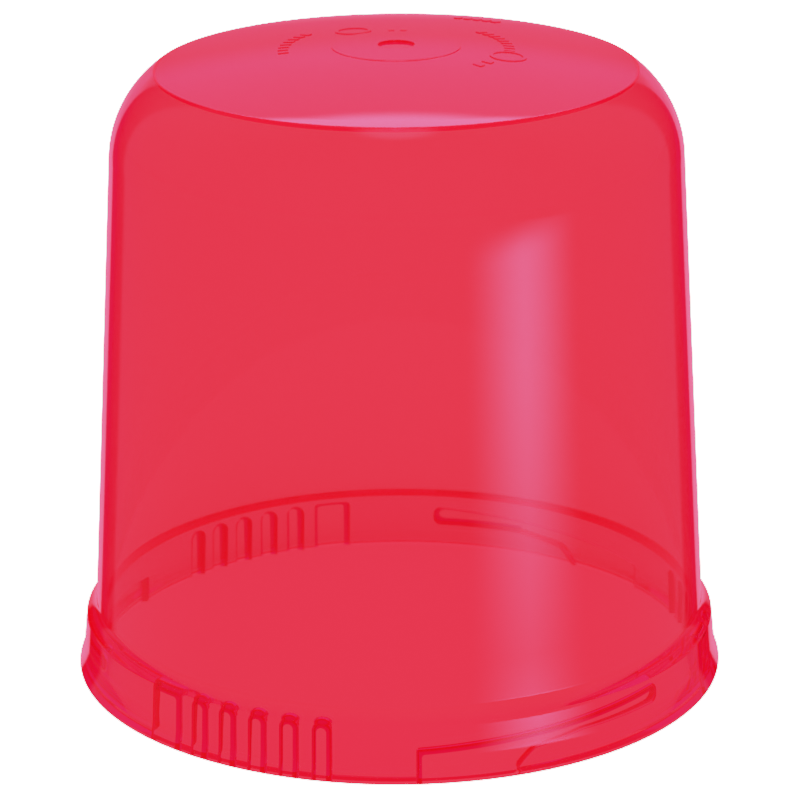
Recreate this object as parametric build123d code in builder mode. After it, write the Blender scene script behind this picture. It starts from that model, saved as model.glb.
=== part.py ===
"""Dome lens of a rotating warning beacon: one hollow moulding with a bayonet collar.

The open rim stands on the plane z = 0, the axis of the dome is the Z axis, and +Z points
to the crown.  Azimuth angles are counted from -Y towards +X, so a feature at azimuth 0
faces the viewer of the front view.  All sizes are in millimetres.
"""

from build123d import *
from math import cos, hypot, radians, sin, sqrt, tan
import os

# ---- dome ---------------------------------------------------------------------------
wall_thickness = 2.0

rim_radius = 83.0               # widest place, the band that sits on the lamp base
rim_band_height = 0.8
collar_foot_radius = 81.75      # foot of the tapered collar, the rim flares out below it
collar_foot_height = 4.6
collar_top_radius = 80.8
collar_top_height = 14.2        # the shoulder slopes up and inwards from here
shoulder_round = 1.0
shoulder_root_round = 4.9       # wide hollow round where the shoulder runs into the wall
rim_band_round = 0.5
rim_edge_round = 0.3
mouth_chamfer = 0.5             # lead-in at the inner edge of the open rim

wall_foot_radius = 78.3         # outside of the dome wall where the shoulder meets it
wall_foot_height = 16.2
wall_draft = 3.24               # degrees, the wall leans inwards as it rises
corner_start_height = 135.0     # the straight wall turns into the round corner here
corner_radius = 27.6
crease_slope = 35.2             # degrees, slope of the corner where it meets the crown
crown_rise = 5.65               # rise of the shallow crown above the crease

disc_radius = 16.0              # faint raised disc round the injection point
disc_step = 0.15
gate_radius = 4.5               # shallow dimple at the injection point
gate_depth = 0.6

# ---- bayonet collar, its pattern repeats round the axis -----------------------------
bayonet_count = 3
recess_floor_radius = 79.0      # how far out the recesses reach into the thick collar
cutter_half_depth = 2.0         # each cutter reaches this far to both sides of its skin
cutter_overrun = 1.0            # how far each cutter runs past the open rim

arch_count = 5                  # narrow round-topped relief pockets
arch_pitch = 6.03               # degrees
first_arch_azimuth = -37.8
arch_width = 5.0
arch_height = 13.7

window_start_azimuth = -49.6    # wide square-topped pocket beside the arches
window_end_azimuth = -42.1
window_height = 13.5
window_round = 1.0

slot_stop_azimuth = 2.8         # straight stop edge of the entry
slot_entry_azimuth = 20.2       # the entry is open at the rim from the stop up to here
slot_end_azimuth = 52.6         # closed end, where the locked lug rests
slot_stop_height = 7.5          # the ceiling rises from here ...
slot_end_height = 11.6          # ... to here
slot_seat_azimuth = 34.0        # the level seat that holds the locked lug starts here
slot_seat_height = 6.4
slot_lead_azimuth = 24.0        # the lead-in ramp gets flatter here
slot_lead_height = 4.3
slot_end_round = 2.0
slot_stop_round = 0.8

# ---- derived values -----------------------------------------------------------------
draft_slope = tan(radians(wall_draft))
wall_top_radius = wall_foot_radius - (corner_start_height - wall_foot_height) * draft_slope
corner_centre = (
    wall_top_radius - corner_radius * cos(radians(wall_draft)),
    corner_start_height - corner_radius * sin(radians(wall_draft)),
)
crease_angle = 90 - crease_slope
crease_radius = corner_centre[0] + corner_radius * cos(radians(crease_angle))
crease_height = corner_centre[1] + corner_radius * sin(radians(crease_angle))
crown_height = crease_height + crown_rise
crown_sphere_radius = (crease_radius**2 + crown_rise**2) / (2 * crown_rise)
crown_centre_height = crown_height - crown_sphere_radius
inner_corner_radius = corner_radius - wall_thickness
inner_sphere_radius = crown_sphere_radius - wall_thickness
inner_wall_shift = wall_thickness / cos(radians(wall_draft))
mouth_radius = wall_foot_radius + wall_foot_height * draft_slope - inner_wall_shift
recess_skin_radius = recess_floor_radius - cutter_half_depth


def corner_point(radius, angle):
    """Point on a circle round the centre of the corner, angle in degrees from level."""
    return (
        corner_centre[0] + radius * cos(radians(angle)),
        corner_centre[1] + radius * sin(radians(angle)),
    )


def crown_point(at_radius, lift=0):
    """Point of the crown at a distance from the axis, lifted off the outer surface."""
    sphere_radius = crown_sphere_radius + lift
    return (at_radius, crown_centre_height + sqrt(sphere_radius**2 - at_radius**2))


def inner_crease_point():
    """Where the inside of the corner and the inside of the crown cross."""
    centre_gap = hypot(corner_centre[0], corner_centre[1] - crown_centre_height)
    along = (inner_sphere_radius**2 - inner_corner_radius**2 + centre_gap**2) / (2 * centre_gap)
    across = sqrt(inner_sphere_radius**2 - along**2)
    towards_r = corner_centre[0] / centre_gap
    towards_z = (corner_centre[1] - crown_centre_height) / centre_gap
    return (
        along * towards_r + across * towards_z,
        crown_centre_height + along * towards_z - across * towards_r,
    )


def arc_length(azimuth):
    """Distance along the wrapped skin from azimuth 0 to an azimuth in degrees."""
    return recess_skin_radius * radians(azimuth)


def vertex_near(sketch, at_radius, at_height):
    """The corner of a half-section that lies nearest to a point."""
    return sketch.vertices().sort_by_distance((at_radius, at_height, 0))[0]


# ---- half-section of the outside, filled to the axis --------------------------------
crease = (crease_radius, crease_height)
gate_floor_height = crown_point(gate_radius, disc_step)[1] - gate_depth

with BuildSketch(Plane.XZ) as outer_section:
    with BuildLine():
        Polyline(
            (0, 0),
            (rim_radius, 0),
            (rim_radius, rim_band_height),
            (collar_foot_radius, collar_foot_height),
            (collar_top_radius, collar_top_height),
            (wall_foot_radius, wall_foot_height),
            (wall_top_radius, corner_start_height),
        )
        ThreePointArc(
            (wall_top_radius, corner_start_height),
            corner_point(corner_radius, (wall_draft + crease_angle) / 2),
            crease,
        )
        ThreePointArc(
            crease,
            crown_point((crease_radius + disc_radius) / 2),
            crown_point(disc_radius),
        )
        Line(crown_point(disc_radius), crown_point(disc_radius, disc_step))
        ThreePointArc(
            crown_point(disc_radius, disc_step),
            crown_point((disc_radius + gate_radius) / 2, disc_step),
            crown_point(gate_radius, disc_step),
        )
        Polyline(
            crown_point(gate_radius, disc_step),
            (gate_radius, gate_floor_height),
            (0, gate_floor_height),
            (0, 0),
        )
    make_face()
    fillet(vertex_near(outer_section, collar_top_radius, collar_top_height), shoulder_round)
    fillet(vertex_near(outer_section, wall_foot_radius, wall_foot_height), shoulder_root_round)
    fillet(vertex_near(outer_section, rim_radius, rim_band_height), rim_band_round)
    fillet(vertex_near(outer_section, rim_radius, 0), rim_edge_round)

# ---- half-section of the hollow inside ----------------------------------------------
inner_crease = inner_crease_point()
inner_wall_top = corner_point(inner_corner_radius, wall_draft)

with BuildSketch(Plane.XZ) as hollow_section:
    with BuildLine():
        Polyline(
            (0, -cutter_overrun),
            (mouth_radius + mouth_chamfer + cutter_overrun, -cutter_overrun),
            (mouth_radius, mouth_chamfer),
            inner_wall_top,
        )
        ThreePointArc(
            inner_wall_top,
            corner_point(inner_corner_radius, (wall_draft + crease_angle) / 2),
            inner_crease,
        )
        ThreePointArc(
            inner_crease,
            crown_point(inner_crease[0] / 2, -wall_thickness),
            crown_point(0, -wall_thickness),
        )
        Line(crown_point(0, -wall_thickness), (0, -cutter_overrun))
    make_face()

# ---- outlines of the recesses, drawn flat: arc length across, height up -------------
with BuildSketch() as window_outline:
    with BuildLine():
        Polyline(
            (arc_length(window_start_azimuth), -cutter_overrun),
            (arc_length(window_end_azimuth), -cutter_overrun),
            (arc_length(window_end_azimuth), window_height),
            (arc_length(window_start_azimuth), window_height),
            close=True,
        )
    make_face()
    fillet(window_outline.vertices().group_by(Axis.Y)[-1], window_round)

with BuildSketch() as arch_outlines:
    arch_spring_height = arch_height - arch_width / 2
    for arch in range(arch_count):
        middle = arc_length(first_arch_azimuth + arch * arch_pitch)
        with BuildLine():
            Polyline(
                (middle - arch_width / 2, arch_spring_height),
                (middle - arch_width / 2, -cutter_overrun),
                (middle + arch_width / 2, -cutter_overrun),
                (middle + arch_width / 2, arch_spring_height),
            )
            ThreePointArc(
                (middle + arch_width / 2, arch_spring_height),
                (middle, arch_height),
                (middle - arch_width / 2, arch_spring_height),
            )
        make_face()

with BuildSketch() as slot_outline:
    with BuildLine():
        Polyline(
            (arc_length(slot_stop_azimuth), -cutter_overrun),
            (arc_length(slot_entry_azimuth), -cutter_overrun),
            (arc_length(slot_lead_azimuth), slot_lead_height),
            (arc_length(slot_seat_azimuth), slot_seat_height),
            (arc_length(slot_end_azimuth), slot_seat_height),
            (arc_length(slot_end_azimuth), slot_end_height),
            (arc_length(slot_stop_azimuth), slot_stop_height),
            close=True,
        )
    make_face()
    fillet(slot_outline.vertices().group_by(Axis.X)[-1], slot_end_round)
    fillet(
        vertex_near(slot_outline, arc_length(slot_stop_azimuth), slot_stop_height),
        slot_stop_round,
    )

# ---- the outlines wrapped round the collar and thickened into cutters ---------------
skin = Cylinder(recess_skin_radius, 4 * wall_foot_height, mode=Mode.PRIVATE)
skin_face = skin.faces().filter_by(GeomType.CYLINDER)[0]
front_of_skin = Plane(origin=(0, -recess_skin_radius, 0), x_dir=(1, 0, 0), z_dir=(0, -1, 0))

with BuildPart() as recess_cutters:
    for outline in (window_outline, arch_outlines, slot_outline):
        for outline_face in outline.faces():
            wrapped = skin_face.wrap(outline_face, front_of_skin.location)
            thicken(wrapped, amount=cutter_half_depth, both=True)

# ---- the lens -----------------------------------------------------------------------
with BuildPart() as dome_lens:
    add(outer_section.sketch)
    revolve(axis=Axis.Z)
    add(hollow_section.sketch)
    revolve(axis=Axis.Z, mode=Mode.SUBTRACT)
    with PolarLocations(0, bayonet_count):
        add(recess_cutters.part, mode=Mode.SUBTRACT)

dome_lens.part.label = "dome_lens"

os.makedirs("parts", exist_ok=True)
export_step(dome_lens.part, "parts/dome_lens.step")
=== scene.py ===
"""Looks of a beacon dome lens: one clear red moulding with a bayonet collar, on a pale floor.

Everything is in metres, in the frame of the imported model: the open rim stands on z = 0, the
axis of the dome is the Z axis and the front looks towards -Y.
"""

import logging
from dataclasses import dataclass, field
from enum import Enum
from functools import partial
from math import atan2, cos, hypot, pi, radians, sin, sqrt, tan
from typing import Callable

import bmesh
import bpy
from mathutils import Matrix, Vector


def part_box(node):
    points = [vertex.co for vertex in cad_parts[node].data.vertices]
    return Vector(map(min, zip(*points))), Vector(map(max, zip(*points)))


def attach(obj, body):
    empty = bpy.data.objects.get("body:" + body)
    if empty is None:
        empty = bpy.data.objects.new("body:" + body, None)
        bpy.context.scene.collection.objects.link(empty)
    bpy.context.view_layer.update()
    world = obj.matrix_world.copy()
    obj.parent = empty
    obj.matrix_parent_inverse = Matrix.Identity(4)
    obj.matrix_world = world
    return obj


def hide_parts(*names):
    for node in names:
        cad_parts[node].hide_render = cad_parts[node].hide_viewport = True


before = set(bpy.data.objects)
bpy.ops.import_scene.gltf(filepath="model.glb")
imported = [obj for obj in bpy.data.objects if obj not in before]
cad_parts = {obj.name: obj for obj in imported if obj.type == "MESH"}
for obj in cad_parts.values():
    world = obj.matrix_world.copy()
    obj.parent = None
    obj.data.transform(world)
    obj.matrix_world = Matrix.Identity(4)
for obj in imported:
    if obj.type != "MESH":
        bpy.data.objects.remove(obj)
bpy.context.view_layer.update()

MM = 0.001
WHITE = (1.0, 1.0, 1.0)
DEGREES = 180 / pi
LENS_NODE = "dome_lens"

Tree = bpy.types.NodeTree
Socket = bpy.types.NodeSocket
Shape = bmesh.types.BMesh
Vertex = bmesh.types.BMVert
Point = tuple[float, float]
Span = tuple[float, float]
Colour = tuple[float, float, float]
Column = tuple[float, float, float]

log = logging.getLogger("dome_lens")


class Skin(Enum):
    """Which copy of the plastic a face of the lens has, as its place among the lens's materials;
    the second copy is darker and paints shade on the pocket walls.
    """

    CLEAR = 0
    EDGE = 1


class Join(Enum):
    """How a tool changes the lens."""

    ADD = "UNION"
    TAKE_AWAY = "DIFFERENCE"


# ---------------------------------------------------------------- node helpers


def link(tree: Tree, source: Socket, target: Socket) -> None:
    """Joins two sockets of a node tree."""
    tree.links.new(source, target)


def math_node(
    tree: Tree, operation: str, first: Socket | float, second: Socket | float = 0.0
) -> Socket:
    """Adds a Math node.

    Args:
        tree: The node tree that gets the node.
        operation: Name of the Math operation.
        first: First input, a socket or a number.
        second: Second input, a socket or a number.

    Returns:
        The node's result socket.
    """
    node = tree.nodes.new("ShaderNodeMath")
    node.operation = operation
    for socket, value in zip(node.inputs, (first, second)):
        if isinstance(value, Socket):
            link(tree, value, socket)
        else:
            socket.default_value = value
    return node.outputs[0]


def product(tree: Tree, first: Socket, *others: Socket | float) -> Socket:
    """Multiplies values.

    Args:
        tree: The node tree that gets the nodes.
        first: The first factor.
        others: The other factors, sockets or numbers.

    Returns:
        The socket of the product.
    """
    for other in others:
        first = math_node(tree, "MULTIPLY", first, other)
    return first


def ramp_between(tree: Tree, value: Socket, start: float, end: float) -> Socket:
    """Turns a value into a soft 0 to 1 step.

    Args:
        tree: The node tree that gets the node.
        value: The socket to remap.
        start: Value that gives 0.
        end: Value that gives 1.

    Returns:
        The socket of the soft step.
    """
    node = tree.nodes.new("ShaderNodeMapRange")
    node.interpolation_type = "SMOOTHSTEP"
    link(tree, value, node.inputs["Value"])
    low, high = sorted((start, end))
    node.inputs["From Min"].default_value = low
    node.inputs["From Max"].default_value = high
    node.inputs["To Min"].default_value = 0.0 if start < end else 1.0
    node.inputs["To Max"].default_value = 1.0 if start < end else 0.0
    return node.outputs["Result"]


def blank_material(name: str) -> tuple[bpy.types.Material, Tree, bpy.types.Node]:
    """Starts a node material.

    Args:
        name: Name of the material.

    Returns:
        The material, its node tree and its output node.
    """
    made = bpy.data.materials.new(name)
    made.use_nodes = True
    made.node_tree.nodes.clear()
    return made, made.node_tree, made.node_tree.nodes.new("ShaderNodeOutputMaterial")


# ---------------------------------------------------------------- finishes and painted glow


@dataclass(frozen=True)
class ClearRedPlastic:
    """Transparent polycarbonate, red all through, with a polished mould finish.

    Args:
        name: Name of the material.
        surface_tint: Colour that each pair of surface crossings leaves.
        depth_colour: Colour that the depth of the plastic leaves.
        depth_density: Strength of the depth colour, per metre.
        caught_light: Faint light of the plastic's own, which stands for the light caught inside it.
        refraction: Index of refraction.
        smoothest: Roughness of the best polished spots.
        dullest: Roughness of the dullest spots.
        polish_scale: Size of the polishing spots, in waves per metre.
        polish_detail: Finer layers of the polishing spots.
        flow_scale: Size of the flow marks, in waves per metre.
        flow_detail: Finer layers of the flow marks.
        flow_height: Height of the flow marks, in metres.
    """

    name: str = "clear_red_plastic"
    surface_tint: Colour = (0.98, 0.149, 0.186)
    depth_colour: Colour = (0.985, 0.4, 0.8)
    depth_density: float = 80.0
    caught_light: Colour = (0.04, 0.0015, 0.003)
    refraction: float = 1.586
    smoothest: float = 0.015
    dullest: float = 0.045
    polish_scale: float = 60.0
    polish_detail: float = 4.0
    flow_scale: float = 22.0
    flow_detail: float = 1.0
    flow_height: float = 4e-6

    def material(self) -> bpy.types.Material:
        """Makes the node material.

        Returns:
            The finished material.
        """
        made, tree, output = blank_material(self.name)
        shader = tree.nodes.new("ShaderNodeBsdfPrincipled")
        shader.inputs["Base Color"].default_value = (*self.surface_tint, 1.0)
        shader.inputs["Transmission Weight"].default_value = 1.0
        shader.inputs["IOR"].default_value = self.refraction
        shader.inputs["Emission Color"].default_value = (*self.caught_light, 1.0)
        shader.inputs["Emission Strength"].default_value = 1.0
        made.cycles.emission_sampling = "NONE"
        depth = tree.nodes.new("ShaderNodeVolumeAbsorption")
        depth.inputs["Color"].default_value = (*self.depth_colour, 1.0)
        depth.inputs["Density"].default_value = self.depth_density
        link(tree, shader.outputs["BSDF"], output.inputs["Surface"])
        link(tree, depth.outputs["Volume"], output.inputs["Volume"])
        place = tree.nodes.new("ShaderNodeTexCoord").outputs["Object"]
        polish = tree.nodes.new("ShaderNodeTexNoise")
        polish.inputs["Scale"].default_value = self.polish_scale
        polish.inputs["Detail"].default_value = self.polish_detail
        link(tree, place, polish.inputs["Vector"])
        spread = tree.nodes.new("ShaderNodeMapRange")
        link(tree, polish.outputs["Fac"], spread.inputs["Value"])
        spread.inputs["To Min"].default_value = self.smoothest
        spread.inputs["To Max"].default_value = self.dullest
        link(tree, spread.outputs["Result"], shader.inputs["Roughness"])
        flow = tree.nodes.new("ShaderNodeTexNoise")
        flow.inputs["Scale"].default_value = self.flow_scale
        flow.inputs["Detail"].default_value = self.flow_detail
        link(tree, place, flow.inputs["Vector"])
        bump = tree.nodes.new("ShaderNodeBump")
        bump.inputs["Strength"].default_value = 1.0
        bump.inputs["Distance"].default_value = self.flow_height
        link(tree, flow.outputs["Fac"], bump.inputs["Height"])
        link(tree, bump.outputs["Normal"], shader.inputs["Normal"])
        return made


@dataclass(frozen=True)
class PaleSweep:
    """Matt white studio floor.

    Args:
        tone: How much light the floor gives back.
        open_light: Light that is added where the floor is seen openly, so that it stays plain.
    """

    tone: float = 0.85
    open_light: float = 4.0

    def material(self) -> bpy.types.Material:
        """Makes the node material of the open floor.

        Returns:
            The finished material.
        """
        made, tree, output = blank_material("pale_sweep")
        matt = tree.nodes.new("ShaderNodeBsdfDiffuse")
        matt.inputs["Color"].default_value = (self.tone, self.tone, self.tone, 1.0)
        light = tree.nodes.new("ShaderNodeEmission")
        path = tree.nodes.new("ShaderNodeLightPath")
        openly = math_node(tree, "MULTIPLY", path.outputs["Is Camera Ray"], self.open_light)
        link(tree, openly, light.inputs["Strength"])
        both = tree.nodes.new("ShaderNodeAddShader")
        link(tree, matt.outputs["BSDF"], both.inputs[0])
        link(tree, light.outputs["Emission"], both.inputs[1])
        link(tree, both.outputs["Shader"], output.inputs["Surface"])
        return made


@dataclass(frozen=True)
class PaintedGlowPad:
    """The round of floor under the lens, with a painted red glow in place of the light that the
    lens sends down on it.

    Args:
        colour: Painted glow that comes up from the round.
    """

    colour: Colour = (2.7, 0.29, 0.43)

    def material(self) -> bpy.types.Material:
        """Makes the node material of the covered floor, a painted glow.

        Returns:
            The finished material.
        """
        made, tree, output = blank_material("painted_glow_pad")
        light = tree.nodes.new("ShaderNodeEmission")
        light.inputs["Color"].default_value = (*self.colour, 1.0)
        link(tree, light.outputs["Emission"], output.inputs["Surface"])
        return made


# ---------------------------------------------------------------- the lens


@dataclass
class Profile:
    """A half-section that is turned round the axis, as points (radius, height)."""

    points: list[Point] = field(default_factory=list)

    def to(self, radius: float, height: float) -> "Profile":
        """Adds one point."""
        self.points.append((radius, height))
        return self

    def arc(self, centre: Point, radius: float, start: float, end: float, steps: int) -> "Profile":
        """Adds an arc.

        Args:
            centre: Middle of the arc, as (radius, height).
            radius: Radius of the arc.
            start: First angle from level, in radians.
            end: Last angle from level, in radians.
            steps: Number of pieces.

        Returns:
            The profile itself.
        """
        for step in range(steps + 1):
            angle = start + (end - start) * step / steps
            self.points.append((centre[0] + radius * cos(angle), centre[1] + radius * sin(angle)))
        return self

    def round_corner(
        self, before: Point, corner: Point, after: Point, radius: float, steps: int = 6
    ) -> "Profile":
        """Adds a corner that is rounded with an arc.

        Args:
            before: Point that the line into the corner comes from.
            corner: The sharp corner.
            after: Point that the line out of the corner goes to.
            radius: Radius of the round.
            steps: Number of pieces of the arc.

        Returns:
            The profile itself.
        """
        c = Vector(corner)
        into = (Vector(before) - c).normalized()
        out = (Vector(after) - c).normalized()
        half = into.angle(out) / 2
        middle = c + (into + out).normalized() * (radius / sin(half))
        first = c + into * (radius / tan(half)) - middle
        last = c + out * (radius / tan(half)) - middle
        start = atan2(first.y, first.x)
        turn = (atan2(last.y, last.x) - start + pi) % (2 * pi) - pi
        return self.arc(tuple(middle), radius, start, start + turn, steps)


@dataclass
class Recess:
    """A pocket in the bayonet collar.

    Each layer is one depth of the pocket: its radius in mm, and its outline as columns
    (azimuth in degrees, lowest and highest edge in mm).
    """

    layers: list[tuple[float, list[Column]]]


@dataclass
class DomeLens:
    """The whole moulding: dome, crown and bayonet collar. Sizes in millimetres and degrees."""

    finish: ClearRedPlastic = field(default_factory=ClearRedPlastic)
    # a darker copy of the clear plastic: painted shade on the walls of the collar's pockets
    shade_painted_edge_finish: ClearRedPlastic = field(
        default_factory=lambda: ClearRedPlastic(
            name="clear_red_edges_painted_shade",
            surface_tint=(0.42, 0.0012, 0.075),
            caught_light=(0.03, 0.0, 0.001),
        )
    )
    wall: float = 2.0
    rim_band_height: float = 0.8
    collar_foot_radius: float = 81.75
    collar_foot_height: float = 4.6
    collar_top_radius: float = 80.8
    collar_top_height: float = 14.2
    shoulder_round: float = 1.0
    shoulder_root_round: float = 4.9
    rim_band_round: float = 0.5
    rim_edge_round: float = 0.3
    mouth_chamfer: float = 0.5
    wall_foot_radius: float = 78.3
    wall_foot_height: float = 16.2
    draft: float = 3.24
    corner_start: float = 135.0
    corner_radius: float = 27.6
    crease_slope: float = 35.2
    crown_rise: float = 5.65
    crease_round: float = 1.2
    crease_soft: float = 0.6
    disc_radius: float = 16.0
    disc_step: float = 0.15
    gate_radius: float = 4.5
    gate_depth: float = 0.6
    disc_edge: float = 0.1
    gate_edge: float = 0.25
    gate_lip_round: float = 0.12
    gate_foot_round: float = 0.25
    turns: int = 480
    band_rows: Span = (0.3, 0.6)
    wall_rows: int = 12
    inner_wall_rows: int = 14
    corner_steps: int = 24
    shoulder_steps: int = 12
    crease_steps: int = 6
    crown_rings: int = 14
    disc_rings: int = 8
    inner_crown_rings: int = 20
    gate_steps: int = 4
    sharp_from: float = 24.0
    repeats: int = 3
    recess_floor: float = 79.0
    recess_reach: float = 75.0
    recess_round: float = 1.3
    recess_round_steps: int = 5
    skin_depth: float = 2.0
    overrun: float = 1.0
    window_span: Point = (-49.6, -42.1)
    window_height: float = 13.5
    window_round: float = 1.0
    window_spread: float = 1.5
    outline_round_steps: int = 6
    arch_count: int = 5
    arch_pitch: float = 6.03
    first_arch: float = -37.8
    arch_width: float = 5.0
    arch_height: float = 13.7
    arch_steps: int = 24
    slot_stop: Point = (2.8, 7.5)
    slot_entry: float = 20.2
    slot_lead: Point = (24.0, 4.3)
    slot_seat: Point = (34.0, 6.4)
    slot_end: Point = (52.6, 11.6)
    slot_end_round: float = 2.0
    slot_stop_round: float = 0.8
    slot_steps: int = 48
    slot_end_steps: int = 10
    mark_height: float = 0.2
    mark_root: float = 0.5
    dash_size: Point = (1.5, 2.6)
    dash_rows: tuple[tuple[float, float, int, float], ...] = (
        (-84.0, -126.0, 8, 28.0),
        (130.0, 86.0, 9, 28.0),
        (57.0, 49.0, 2, 26.5),
        (-176.0, 174.0, 2, 18.0),
        (160.0, 147.0, 5, 47.0),
    )
    ring_places: tuple[Point, ...] = ((-149.0, 21.0), (74.0, 28.5))
    ring_radius: float = 4.6
    ring_width: float = 0.9
    ring_steps: int = 48

    def __post_init__(self) -> None:
        """Works out the sizes that follow from the others."""
        low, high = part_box(LENS_NODE)
        self.rim_radius = min(high[0] - low[0], high[1] - low[1]) / 2 / MM
        self.slope = tan(radians(self.draft))
        self.wall_top_radius = self.wall_radius_at(self.corner_start)
        lean = radians(self.draft)
        self.corner_centre = (
            self.wall_top_radius - self.corner_radius * cos(lean),
            self.corner_start - self.corner_radius * sin(lean),
        )
        self.crease_angle = radians(90 - self.crease_slope)
        self.crease = self.corner_point(self.corner_radius, self.crease_angle)
        self.sphere_radius = (self.crease[0] ** 2 + self.crown_rise ** 2) / (2 * self.crown_rise)
        self.sphere_centre = self.crease[1] + self.crown_rise - self.sphere_radius
        self.mouth_radius = self.wall_radius_at(0.0) - self.wall / cos(lean)

    def wall_radius_at(self, height: float) -> float:
        """Gives the outer radius of the drafted wall at a height."""
        return self.wall_foot_radius - (height - self.wall_foot_height) * self.slope

    def corner_point(self, radius: float, angle: float) -> Point:
        """Gives the point at an angle on a circle round the middle of the corner."""
        middle_radius, middle_height = self.corner_centre
        return (middle_radius + radius * cos(angle), middle_height + radius * sin(angle))

    def crown_height_at(self, at_radius: float, lift: float = 0.0) -> float:
        """Gives the height of the crown at a distance from the axis."""
        return self.sphere_centre + sqrt((self.sphere_radius + lift) ** 2 - at_radius ** 2)

    def outer_profile(self) -> Profile:
        """Draws the outside from the open rim up to the axis.

        Returns:
            The profile, in millimetres.
        """
        rim_edge = (self.rim_radius, 0.0)
        band_top = (self.rim_radius, self.rim_band_height)
        foot = (self.collar_foot_radius, self.collar_foot_height)
        top = (self.collar_top_radius, self.collar_top_height)
        root = (self.wall_foot_radius, self.wall_foot_height)
        wall_top = (self.wall_top_radius, self.corner_start)
        made = Profile()
        made.round_corner((0, 0), rim_edge, band_top, self.rim_edge_round)
        made.round_corner(rim_edge, band_top, foot, self.rim_band_round)
        made.to(*foot)
        for share in self.band_rows:
            made.to(foot[0] + (top[0] - foot[0]) * share, foot[1] + (top[1] - foot[1]) * share)
        made.round_corner(foot, top, root, self.shoulder_round, self.shoulder_steps)
        made.round_corner(top, root, wall_top, self.shoulder_root_round, self.shoulder_steps)
        for row in range(1, self.wall_rows):
            below = made.points[-1][1]
            height = below + (self.corner_start - below) / (self.wall_rows - row + 1)
            made.to(self.wall_radius_at(height), height)
        corner_end = self.crease_angle - self.crease_soft / self.corner_radius
        made.arc(
            self.corner_centre,
            self.corner_radius,
            radians(self.draft),
            corner_end,
            self.corner_steps,
        )
        inside = self.crease[0] - self.crease_soft
        crown_start = (inside, self.crown_height_at(inside))
        made.round_corner(
            made.points[-1], self.crease, crown_start, self.crease_round, self.crease_steps
        )
        disc_foot = self.disc_radius + self.disc_edge
        disc_lip = self.disc_radius - self.disc_edge
        gate_start = self.gate_radius + self.gate_edge
        self.crown_rows(made, disc_foot, self.crown_rings, first=inside)
        self.crown_rows(made, gate_start, self.disc_rings, disc_lip, self.disc_step, start=0)
        edge = (self.gate_radius, self.crown_height_at(self.gate_radius, self.disc_step))
        floor = (self.gate_radius, edge[1] - self.gate_depth)
        disc_rim = (self.disc_radius, edge[1])
        made.round_corner(disc_rim, edge, floor, self.gate_lip_round, self.gate_steps)
        made.round_corner(edge, floor, (0, floor[1]), self.gate_foot_round, self.gate_steps)
        return made.to(self.gate_radius / 2, floor[1]).to(0.0, floor[1])

    def crown_rows(
        self, made: Profile, last: float, rows: int, first: float, lift: float = 0.0, start: int = 1
    ) -> None:
        """Adds rows of the crown's sphere to a profile.

        Args:
            made: The profile that gets the rows.
            last: Distance from the axis where the rows end.
            rows: Number of steps.
            first: Distance from the axis where the rows start.
            lift: Height above the plain crown.
            start: First step that is added.
        """
        for row in range(start, rows + 1):
            radius = first + (last - first) * row / rows
            made.to(radius, self.crown_height_at(radius, lift))

    def inner_profile(self) -> Profile:
        """Draws the inside from the open mouth up to the axis.

        Returns:
            The profile, in millimetres.
        """
        corner_radius = self.corner_radius - self.wall
        sphere_radius = self.sphere_radius - self.wall
        gap_r, gap_z = self.corner_centre[0], self.corner_centre[1] - self.sphere_centre
        gap = hypot(gap_r, gap_z)
        along = (sphere_radius ** 2 - corner_radius ** 2 + gap ** 2) / (2 * gap)
        across = sqrt(sphere_radius ** 2 - along ** 2)
        crease = (
            (along * gap_r + across * gap_z) / gap,
            self.sphere_centre + (along * gap_z - across * gap_r) / gap,
        )
        end = atan2(crease[1] - self.corner_centre[1], crease[0] - self.corner_centre[0])
        made = Profile()
        made.to(self.mouth_radius + self.mouth_chamfer, 0.0)
        foot = (self.mouth_radius, self.mouth_chamfer)
        top = self.corner_point(corner_radius, radians(self.draft))
        rows = self.inner_wall_rows
        for row in range(rows):
            made.to(
                foot[0] + (top[0] - foot[0]) * row / rows,
                foot[1] + (top[1] - foot[1]) * row / rows,
            )
        made.arc(self.corner_centre, corner_radius, radians(self.draft), end, self.corner_steps)
        self.crown_rows(made, 0.0, self.inner_crown_rings, crease[0], -self.wall)
        return made

    def turned(self) -> Shape:
        """Turns both profiles into one closed shell.

        Returns:
            The shell, in metres.
        """
        outline = self.outer_profile().points + self.inner_profile().points[::-1]
        shell = bmesh.new()
        rings: list[list[Vertex]] = []
        for radius, height in outline:
            count = 1 if radius < 1e-6 else self.turns
            rings.append([
                shell.verts.new(Vector((
                    radius * sin(2 * pi * turn / self.turns),
                    -radius * cos(2 * pi * turn / self.turns),
                    height,
                )) * MM)
                for turn in range(count)
            ])
        loops = list(zip(rings, rings[1:])) + [(rings[-1], rings[0])]
        for lower, upper in loops:
            if len(lower) == len(upper) == 1:
                continue
            for turn in range(self.turns):
                after = (turn + 1) % self.turns
                if len(upper) == 1:
                    shell.faces.new((lower[turn], lower[after], upper[0]))
                elif len(lower) == 1:
                    shell.faces.new((lower[0], upper[after], upper[turn]))
                else:
                    shell.faces.new((lower[turn], lower[after], upper[after], upper[turn]))
        bmesh.ops.recalc_face_normals(shell, faces=shell.faces)
        return shell

    def skin_degrees(self, millimetres: float) -> float:
        """Turns a distance along the collar's skin into degrees."""
        return millimetres / (self.recess_floor - self.skin_depth) * DEGREES

    def recess(self, outline: Callable[[float], list[Column]]) -> Recess:
        """Stacks the layers of a pocket, with a round along the edges of its floor.

        Args:
            outline: Gives the columns of the pocket's outline, drawn in by a distance in mm.

        Returns:
            The pocket.
        """
        steps = self.recess_round_steps
        layers = [(self.recess_reach, outline(0.0))]
        for step in range(steps + 1):
            angle = pi / 2 * step / steps
            radius = self.recess_floor - self.recess_round * (1 - sin(angle))
            layers.append((radius, outline(self.recess_round * (1 - cos(angle)))))
        return Recess(layers)

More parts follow.
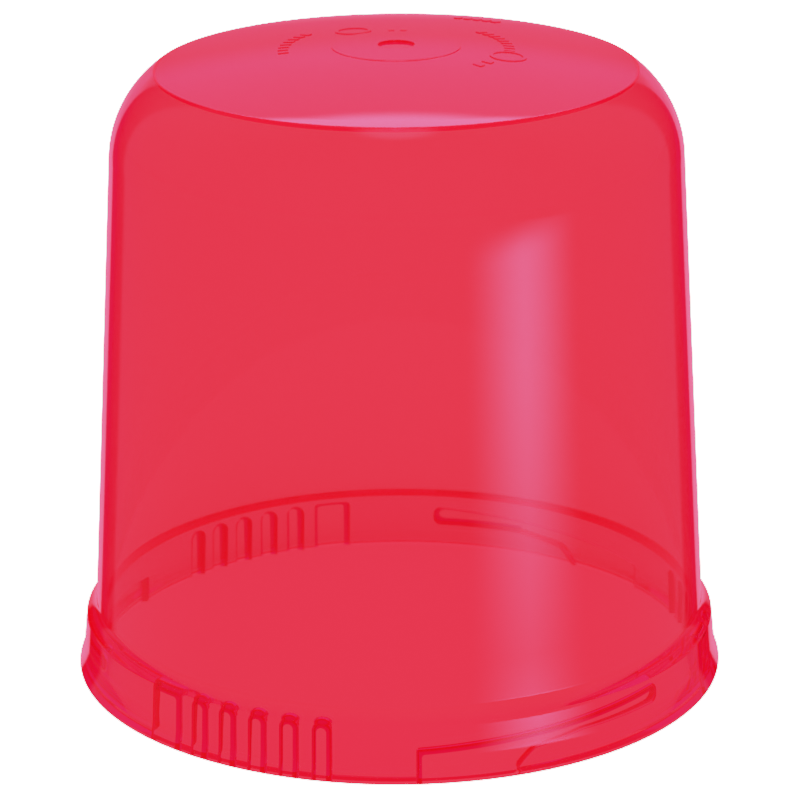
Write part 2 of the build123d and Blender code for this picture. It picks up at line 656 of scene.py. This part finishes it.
    def window(self, inset: float) -> list[Column]:
        """Draws the wide pocket with a square top.

        Args:
            inset: How far the outline is drawn in.

        Returns:
            Its columns.
        """
        start = self.window_span[0] + self.skin_degrees(inset)
        end = self.window_span[1] - self.skin_degrees(inset)
        top = self.window_height - inset
        turn = self.skin_degrees(self.window_round)
        left = []
        for step in range(self.outline_round_steps + 1):
            angle = pi / 2 * step / self.outline_round_steps
            drop = self.window_round * (1 - sin(angle))
            left.append((start + turn * (1 - cos(angle)), -self.overrun, top - drop))
        right = [(start + end - azimuth, low, high) for azimuth, low, high in left[::-1]]
        middle = (start + end) / 2
        between = [
            (middle + side * self.window_spread, -self.overrun, top) for side in (-1, 0, 1)
        ]
        return left + between + right

    def arch(self, middle: float, inset: float) -> list[Column]:
        """Draws one narrow pocket with a round top.

        Args:
            middle: Azimuth of the pocket's middle.
            inset: How far the outline is drawn in.

        Returns:
            Its columns.
        """
        half = self.arch_width / 2 - inset
        spring = self.arch_height - self.arch_width / 2
        steps = self.arch_steps
        return [
            (
                middle - self.skin_degrees(half * cos(pi * step / steps)),
                -self.overrun,
                spring + half * sin(pi * step / steps),
            )
            for step in range(steps + 1)
        ]

    def slot(self, inset: float) -> list[Column]:
        """Draws the entry, the lead-in and the seat of the bayonet slot.

        Args:
            inset: How far the outline is drawn in.

        Returns:
            Its columns.
        """
        stop, stop_height = self.slot_stop
        end, end_height = self.slot_end
        rise = (end_height - stop_height) / (end - stop)
        drawn_in = self.skin_degrees(inset)
        stop_turn = self.skin_degrees(self.slot_stop_round)
        end_turn = self.skin_degrees(self.slot_end_round)
        columns = []
        for step in range(self.outline_round_steps + 1):
            angle = pi / 2 * step / self.outline_round_steps
            azimuth = stop + stop_turn * (1 - cos(angle))
            drop = self.slot_stop_round * (1 - sin(angle))
            top = stop_height + (azimuth - stop) * rise - drop - inset
            columns.append((azimuth + drawn_in, -self.overrun, top))
        steps = self.slot_steps
        for step in range(1, steps):
            azimuth = stop + stop_turn + (end - end_turn - stop - stop_turn) * step / steps
            shifted = azimuth + drawn_in * (1 - 2 * step / steps)
            top = stop_height + (azimuth - stop) * rise
            low = self.slot_floor(azimuth)
            columns.append((shifted, low if low <= -self.overrun else low + inset, top - inset))
        for step in range(self.slot_end_steps + 1):
            angle = pi / 2 * (1 - step / self.slot_end_steps)
            azimuth = end - end_turn * (1 - cos(angle))
            drop = (self.slot_end_round - inset / 2) * (1 - sin(angle)) + inset
            top = stop_height + (azimuth - stop) * rise
            columns.append((azimuth - drawn_in, self.slot_seat[1] + drop, top - drop))
        return columns

    def slot_floor(self, azimuth: float) -> float:
        """Gives the lower edge of the slot at an azimuth.

        Args:
            azimuth: The azimuth, in degrees.

        Returns:
            The height of the edge, in mm.
        """
        track = [
            (self.slot_stop[0], -self.overrun),
            (self.slot_entry, -self.overrun),
            self.slot_lead,
            self.slot_seat,
            (self.slot_end[0], self.slot_seat[1]),
        ]
        for (a, low), (b, high) in zip(track, track[1:]):
            if azimuth <= b:
                return low + (high - low) * max(0.0, azimuth - a) / (b - a)
        return self.slot_seat[1]

    def cutter(self, recesses: list[Recess]) -> Shape:
        """Makes the closed cutters of all pockets.

        Args:
            recesses: Pockets of one third of the collar.

        Returns:
            The cutters, in metres.
        """
        made = bmesh.new()
        for repeat in range(self.repeats):
            for recess in recesses:
                self.add_cutter(made, recess, 360 / self.repeats * repeat)
        bmesh.ops.recalc_face_normals(made, faces=made.faces)
        return made

    def add_cutter(self, made: Shape, recess: Recess, turned_by: float) -> None:
        """Adds one closed cutter.

        Args:
            made: The mesh that gets the cutter.
            recess: The pocket.
            turned_by: Turn round the axis, in degrees.
        """
        stacks: list[list[tuple[Vertex, Vertex]]] = []
        outline = recess.layers[0][1]
        for radius, columns in recess.layers:
            stack = []
            for azimuth, low, high in columns:
                angle = radians(azimuth + turned_by)
                stack.append(tuple(
                    made.verts.new(Vector((radius * sin(angle), -radius * cos(angle), height)) * MM)
                    for height in (low, high)
                ))
            stacks.append(stack)
        for near, far in zip(stacks, stacks[1:]):
            for column, (_, low, _) in enumerate(outline[:-1]):
                after = column + 1
                for side in (0, 1):
                    face = made.faces.new(
                        (near[column][side], near[after][side], far[after][side], far[column][side])
                    )
                    # the open foot of a pocket and the lead-in below the slot stay clear
                    seen = side == 1 or low >= self.slot_seat[1]
                    # the other walls of a pocket take the darker copy of the plastic, painted shade
                    face.material_index = (Skin.EDGE if seen else Skin.CLEAR).value
            for (near_low, near_high), (far_low, far_high) in (
                (near[0], far[0]),
                (near[-1], far[-1]),
            ):
                # the ends of a pocket get the painted shade as well
                face = made.faces.new((near_low, near_high, far_high, far_low))
                face.material_index = Skin.EDGE.value
        for stack in (stacks[0], stacks[-1]):
            for first, second in zip(stack, stack[1:]):
                made.faces.new((first[0], first[1], second[1], second[0]))

    def marks(self) -> Shape:
        """Makes the blank raised dashes and rings on the crown.

        Returns:
            The closed marks, which reach down into the crown, in metres.
        """
        made = bmesh.new()
        for start, end, count, radius in self.dash_rows:
            for index in range(count):
                azimuth = start + (end - start) * index / (count - 1)
                half = self.dash_size[0] / 2 / radius * DEGREES
                corners = [
                    (azimuth + side * half, radius + depth * self.dash_size[1] / 2)
                    for side, depth in ((-1, -1), (1, -1), (1, 1), (-1, 1))
                ]
                self.add_mark(made, [self.from_above(turn, at) for turn, at in corners])
        for azimuth, radius in self.ring_places:
            self.add_ring(made, self.from_above(azimuth, radius))
        bmesh.ops.recalc_face_normals(made, faces=made.faces)
        return made

    def from_above(self, azimuth: float, radius: float) -> Point:
        """Gives x and y of a point at an azimuth and a distance from the axis."""
        return (radius * sin(radians(azimuth)), -radius * cos(radians(azimuth)))

    def mark_vertex(self, made: Shape, x: float, y: float, lift: float) -> Vertex:
        """Adds a corner of a mark at a height over the crown."""
        return made.verts.new(Vector((x, y, self.crown_height_at(hypot(x, y)) + lift)) * MM)

    def add_mark(self, made: Shape, outline: list[Point]) -> None:
        """Adds one dash.

        Args:
            made: The mesh that gets the dash.
            outline: Corners of the dash, seen from above.
        """
        low = [self.mark_vertex(made, x, y, -self.mark_root) for x, y in outline]
        high = [self.mark_vertex(made, x, y, self.mark_height) for x, y in outline]
        made.faces.new(low)
        made.faces.new(high)
        for corner in range(len(outline)):
            after = (corner + 1) % len(outline)
            made.faces.new((low[corner], low[after], high[after], high[corner]))

    def add_ring(self, made: Shape, middle: Point) -> None:
        """Adds one plain ring.

        Args:
            made: The mesh that gets the ring.
            middle: Middle of the ring, seen from above.
        """
        steps = self.ring_steps
        edges = []
        for radius, lift in (
            (self.ring_radius, -self.mark_root),
            (self.ring_radius, self.mark_height),
            (self.ring_radius - self.ring_width, self.mark_height),
            (self.ring_radius - self.ring_width, -self.mark_root),
        ):
            edges.append([
                self.mark_vertex(
                    made,
                    middle[0] + radius * cos(2 * pi * step / steps),
                    middle[1] + radius * sin(2 * pi * step / steps),
                    lift,
                )
                for step in range(steps)
            ])
        for edge, following in zip(edges, edges[1:] + edges[:1]):
            for step in range(steps):
                after = (step + 1) % steps
                made.faces.new((edge[step], edge[after], following[after], following[step]))

    def build(self) -> bpy.types.Object:
        """Builds the finished lens and gives it its materials, the darker copy of the plastic among
        them, which paints shade on the pocket walls.

        Returns:
            The lens object.
        """
        skins = {Skin.CLEAR: self.finish.material(), Skin.EDGE: self.shade_painted_edge_finish.material()}
        lens = self.as_object(self.turned(), "dome_lens_clear")
        arches = [
            self.recess(partial(self.arch, self.first_arch + self.arch_pitch * index))
            for index in range(self.arch_count)
        ]
        recesses = [self.recess(self.window), *arches, self.recess(self.slot)]
        tools = [
            (self.as_object(self.marks(), "crown_marks"), Join.ADD),
            (self.as_object(self.cutter(recesses), "recess_cutters"), Join.TAKE_AWAY),
        ]
        for shape in (lens, *(tool for tool, _ in tools)):
            for skin in Skin:
                shape.data.materials.append(skins[skin])
        for tool, join in tools:
            change = lens.modifiers.new(tool.name, "BOOLEAN")
            change.operation = join.value
            change.solver = "EXACT"
            change.object = tool
        depsgraph = bpy.context.evaluated_depsgraph_get()
        finished = bpy.data.meshes.new_from_object(lens.evaluated_get(depsgraph))
        lens.modifiers.clear()
        lens.data = finished
        for tool, _ in tools:
            bpy.data.objects.remove(tool)
        for polygon in finished.polygons:
            polygon.use_smooth = True
        finished.set_sharp_from_angle(angle=radians(self.sharp_from))
        return lens

    def as_object(self, shape: Shape, name: str) -> bpy.types.Object:
        """Turns a mesh in the making into an object of the scene.

        Args:
            shape: The mesh, which is freed.
            name: Name of the object.

        Returns:
            The new object.
        """
        mesh = bpy.data.meshes.new(name)
        shape.to_mesh(mesh)
        shape.free()
        made = bpy.data.objects.new(name, mesh)
        bpy.context.scene.collection.objects.link(made)
        return made


# ---------------------------------------------------------------- the studio


@dataclass
class Studio:
    """Floor, soft light and camera round the lens. Lengths in metres, angles in degrees.

    A span of angles runs from where a light is dark to where it is full.
    """

    floor_half: float = 3.0
    floor_gap: float = 0.0001
    pad_radius: float = 0.0828
    pad_gap: float = 0.00005
    pad_segments: int = 96
    backdrop: float = 5.0
    through_light: float = 3.0
    bounced_glow: Colour = (2.2, 0.13, 0.6)
    room_glow: Colour = (0.5, 0.11, 0.18)
    back_glow: Colour = (2.6, 0.23, 0.4)
    panel_glow: Colour = (4.0, 1.9, 3.9)
    overhead_glow: Colour = (3.6, 1.0, 1.9)
    sky_glow: Colour = (0.0, 0.08, 0.26)
    back_edge: Span = (153.0, 156.0)
    back_base: float = 0.6
    back_lower: Span = (0.0, -9.0)
    back_lower_gain: float = 0.4
    back_level: Span = (12.0, 4.0)
    back_sides: Span = (172.0, 160.0)
    back_sides_gain: float = 0.5
    room_edge: Span = (139.0, 134.0)
    room_rise: Span = (60.0, 130.0)
    room_base: float = 0.34
    panel_azimuth: float = 49.5
    panel_side: Span = (25.0, -3.0)
    panel_top: Span = (9.0, 10.6)
    panel_foot: Span = (21.0, 11.0)
    strip_edge: Span = (155.0, 165.0)
    strip_foot: Span = (32.0, 34.6)
    strip_top: Span = (52.0, 42.0)
    ceiling_edge: Span = (78.0, 86.0)
    ceiling_gain: float = 0.6
    sky_foot: Span = (8.0, 18.0)
    sky_edge: Span = (158.0, 168.0)
    rising_away: float = 130.0
    rising_crossings: float = 3.0
    rising_elevation: Span = (8.0, 30.0)
    camera_distance: float = 0.9166
    camera_elevation: float = 18.82
    aim_height: float = 0.06903
    focal_length: float = 161.8
    sideways_shift: float = 0.0024
    roll: float = -0.308
    bounces: int = 160
    tone_points: tuple[Point, ...] = ((0.12, 0.6), (0.18, 0.735), (0.46, 0.785), (0.75, 0.84))

    def floor(self) -> bpy.types.Object:
        """Makes the floor under the lens.

        Returns:
            The floor object.
        """
        shape = bmesh.new()
        bmesh.ops.create_grid(shape, x_segments=2, y_segments=2, size=self.floor_half)
        mesh = bpy.data.meshes.new("floor")
        shape.to_mesh(mesh)
        shape.free()
        made = bpy.data.objects.new("floor", mesh)
        made.location.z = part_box(LENS_NODE)[0][2] - self.floor_gap
        made.visible_glossy = False
        mesh.materials.append(PaleSweep().material())
        bpy.context.scene.collection.objects.link(made)
        return made

    def pad(self) -> bpy.types.Object:
        """Makes the round of floor that the lens covers, which shows a painted red glow.

        Returns:
            The round of floor.
        """
        shape = bmesh.new()
        bmesh.ops.create_circle(
            shape, cap_ends=True, segments=self.pad_segments, radius=self.pad_radius
        )
        mesh = bpy.data.meshes.new("floor_inside")
        shape.to_mesh(mesh)
        shape.free()
        made = bpy.data.objects.new("floor_inside", mesh)
        made.location.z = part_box(LENS_NODE)[0][2] - self.pad_gap
        mesh.materials.append(PaintedGlowPad().material())
        bpy.context.scene.collection.objects.link(made)
        return made

    def surroundings(self) -> bpy.types.World:
        """Makes the soft light all round.

        Returns:
            The world.
        """
        world = bpy.data.worlds.new("soft_box")
        bpy.context.scene.world = world
        world.use_nodes = True
        tree = world.node_tree
        tree.nodes.clear()
        direction = tree.nodes.new("ShaderNodeTexCoord").outputs["Generated"]
        split = tree.nodes.new("ShaderNodeSeparateXYZ")
        link(tree, direction, split.inputs[0])
        x, y, z = split.outputs
        # azimuth 0 is straight towards -Y, positive towards +X, in degrees
        forward = math_node(tree, "MULTIPLY", y, -1.0)
        azimuth = product(tree, math_node(tree, "ARCTAN2", x, forward), DEGREES)
        elevation = product(tree, math_node(tree, "ARCSINE", z), DEGREES)
        path = tree.nodes.new("ShaderNodeLightPath")
        gloss = self.reflected(tree, azimuth, elevation)
        through = self.choose(
            tree,
            self.bounced(tree, path, azimuth, elevation),
            self.glow(tree, WHITE, self.through_light),
            self.glow(tree, self.bounced_glow, 1.0),
        )
        not_through = math_node(tree, "SUBTRACT", 1.0, path.outputs["Is Transmission Ray"])
        only_gloss = product(tree, path.outputs["Is Glossy Ray"], not_through)
        lit = self.choose(tree, only_gloss, through, gloss)
        open_view = self.glow(tree, WHITE, self.backdrop)
        seen = self.choose(tree, path.outputs["Is Camera Ray"], lit, open_view)
        output = tree.nodes.new("ShaderNodeOutputWorld")
        link(tree, seen, output.inputs["Surface"])
        return world

    def reflected(self, tree: Tree, azimuth: Socket, elevation: Socket) -> Socket:
        """Makes the lights that the polished outside mirrors.

        Args:
            tree: The world's node tree.
            azimuth: Direction round the lens, in degrees.
            elevation: Direction over the floor, in degrees.

        Returns:
            The shader socket of all of them together.
        """
        away = math_node(tree, "ABSOLUTE", azimuth)
        tilt = math_node(tree, "MULTIPLY", elevation, -1.0)
        ramp = partial(ramp_between, tree)
        lower_back = product(tree, ramp(elevation, *self.back_lower), self.back_lower_gain)
        side_back = product(
            tree,
            ramp(elevation, *self.back_level),
            ramp(away, *self.back_sides),
            self.back_sides_gain,
        )
        gains = math_node(tree, "ADD", lower_back, side_back)
        back = product(
            tree,
            ramp(away, *self.back_edge),
            math_node(tree, "ADD", gains, self.back_base),
        )
        room_gain = product(tree, ramp(away, *self.room_rise), 1.0 - self.room_base)
        room = product(
            tree,
            ramp(away, *self.room_edge),
            math_node(tree, "ADD", room_gain, self.room_base),
        )
        off_panel = math_node(tree, "SUBTRACT", azimuth, self.panel_azimuth)
        panel = product(
            tree,
            ramp(math_node(tree, "ABSOLUTE", off_panel), *self.panel_side),
            ramp(tilt, *self.panel_top),
            ramp(tilt, *self.panel_foot),
        )
        strip = product(
            tree,
            ramp(away, *self.strip_edge),
            ramp(elevation, *self.strip_foot),
            ramp(elevation, *self.strip_top),
        )
        ceiling = product(tree, ramp(elevation, *self.ceiling_edge), self.ceiling_gain)
        overhead = math_node(tree, "ADD", strip, ceiling)
        sky = product(tree, ramp(elevation, *self.sky_foot), ramp(away, *self.sky_edge))
        gloss = self.glow(tree, self.room_glow, room)
        for colour, mask in (
            (self.back_glow, back),
            (self.panel_glow, panel),
            (self.overhead_glow, overhead),
            (self.sky_glow, sky),
        ):
            gloss = self.add(tree, gloss, self.glow(tree, colour, mask))
        return gloss

    def bounced(
        self, tree: Tree, path: bpy.types.Node, azimuth: Socket, elevation: Socket
    ) -> Socket:
        """Marks the light that bounced inside the plastic before it left the lens.

        Light that bounced off the flat of the rim goes on upwards through the far wall, and
        counts as straight light.

        Args:
            tree: The world's node tree.
            path: The Light Path node.
            azimuth: Direction round the lens, in degrees.
            elevation: Direction over the floor, in degrees.

        Returns:
            A socket that is 1 for bounced light and 0 for the rest.
        """
        low, high = self.rising_elevation
        rising = product(
            tree,
            math_node(tree, "GREATER_THAN", math_node(tree, "ABSOLUTE", azimuth), self.rising_away),
            math_node(
                tree, "GREATER_THAN", path.outputs["Transmission Depth"], self.rising_crossings
            ),
            math_node(tree, "GREATER_THAN", elevation, low),
            math_node(tree, "LESS_THAN", elevation, high),
        )
        return product(
            tree,
            math_node(tree, "MINIMUM", path.outputs["Glossy Depth"], 1.0),
            math_node(tree, "SUBTRACT", 1.0, rising),
        )

    def glow(self, tree: Tree, colour: Colour, strength: Socket | float) -> Socket:
        """Adds one light of the surroundings.

        Args:
            tree: The world's node tree.
            colour: Colour of the light, which may be brighter than 1.
            strength: A number or a mask.

        Returns:
            The light's shader socket.
        """
        light = tree.nodes.new("ShaderNodeBackground")
        light.inputs["Color"].default_value = (*colour, 1.0)
        if isinstance(strength, Socket):
            link(tree, strength, light.inputs["Strength"])
        else:
            light.inputs["Strength"].default_value = strength
        return light.outputs["Background"]

    def add(self, tree: Tree, first: Socket, second: Socket) -> Socket:
        """Adds two lights up.

        Args:
            tree: The world's node tree.
            first: One light.
            second: The other light.

        Returns:
            The shader socket of both.
        """
        both = tree.nodes.new("ShaderNodeAddShader")
        link(tree, first, both.inputs[0])
        link(tree, second, both.inputs[1])
        return both.outputs["Shader"]

    def choose(self, tree: Tree, mask: Socket, off: Socket, on: Socket) -> Socket:
        """Picks one of two lights.

        Args:
            tree: The world's node tree.
            mask: Socket that is 0 or 1.
            off: Light where the mask is 0.
            on: Light where the mask is 1.

        Returns:
            The chosen light's shader socket.
        """
        mix = tree.nodes.new("ShaderNodeMixShader")
        link(tree, mask, mix.inputs["Fac"])
        link(tree, off, mix.inputs[1])
        link(tree, on, mix.inputs[2])
        return mix.outputs["Shader"]

    def camera(self) -> bpy.types.Object:
        """Places the camera in front of the lens.

        Returns:
            The camera object.
        """
        data = bpy.data.cameras.new("camera")
        data.lens = self.focal_length
        data.shift_x = self.sideways_shift
        made = bpy.data.objects.new("camera", data)
        rise = radians(self.camera_elevation)
        aim = Vector((0.0, 0.0, self.aim_height))
        made.location = aim + self.camera_distance * Vector((0.0, -cos(rise), sin(rise)))
        facing = (aim - made.location).to_track_quat("-Z", "Y").to_matrix()
        made.rotation_euler = (facing @ Matrix.Rotation(radians(self.roll), 3, "Z")).to_euler()
        bpy.context.scene.collection.objects.link(made)
        bpy.context.scene.camera = made
        return made

    def film(self) -> None:
        """Sets how the picture's light becomes tone: straight in the darks, flat near the top."""
        scene = bpy.context.scene
        scene.cycles.max_bounces = self.bounces
        scene.cycles.transmission_bounces = self.bounces
        scene.cycles.glossy_bounces = self.bounces
        view = scene.view_settings
        view.view_transform = "Standard"
        view.use_curve_mapping = True
        mapping = view.curve_mapping
        mapping.white_level = (self.backdrop,) * 3
        *_, curve = mapping.curves
        for x, y in self.tone_points:
            curve.points.new(x, y)
        for point in curve.points:
            point.handle_type = "VECTOR"
        mapping.update()


def main() -> None:
    """Builds the lens and the studio, and logs what it made."""
    logging.basicConfig(level=logging.INFO, format="%(message)s")
    lens = DomeLens().build()
    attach(lens, "root")
    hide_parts(LENS_NODE)
    log.info("%s: %d faces", lens.name, len(lens.data.polygons))
    studio = Studio()
    for part in (studio.floor(), studio.pad(), studio.camera()):
        log.info("%s placed", part.name)
    studio.surroundings()
    studio.film()


if __name__ == "__main__":
    main()
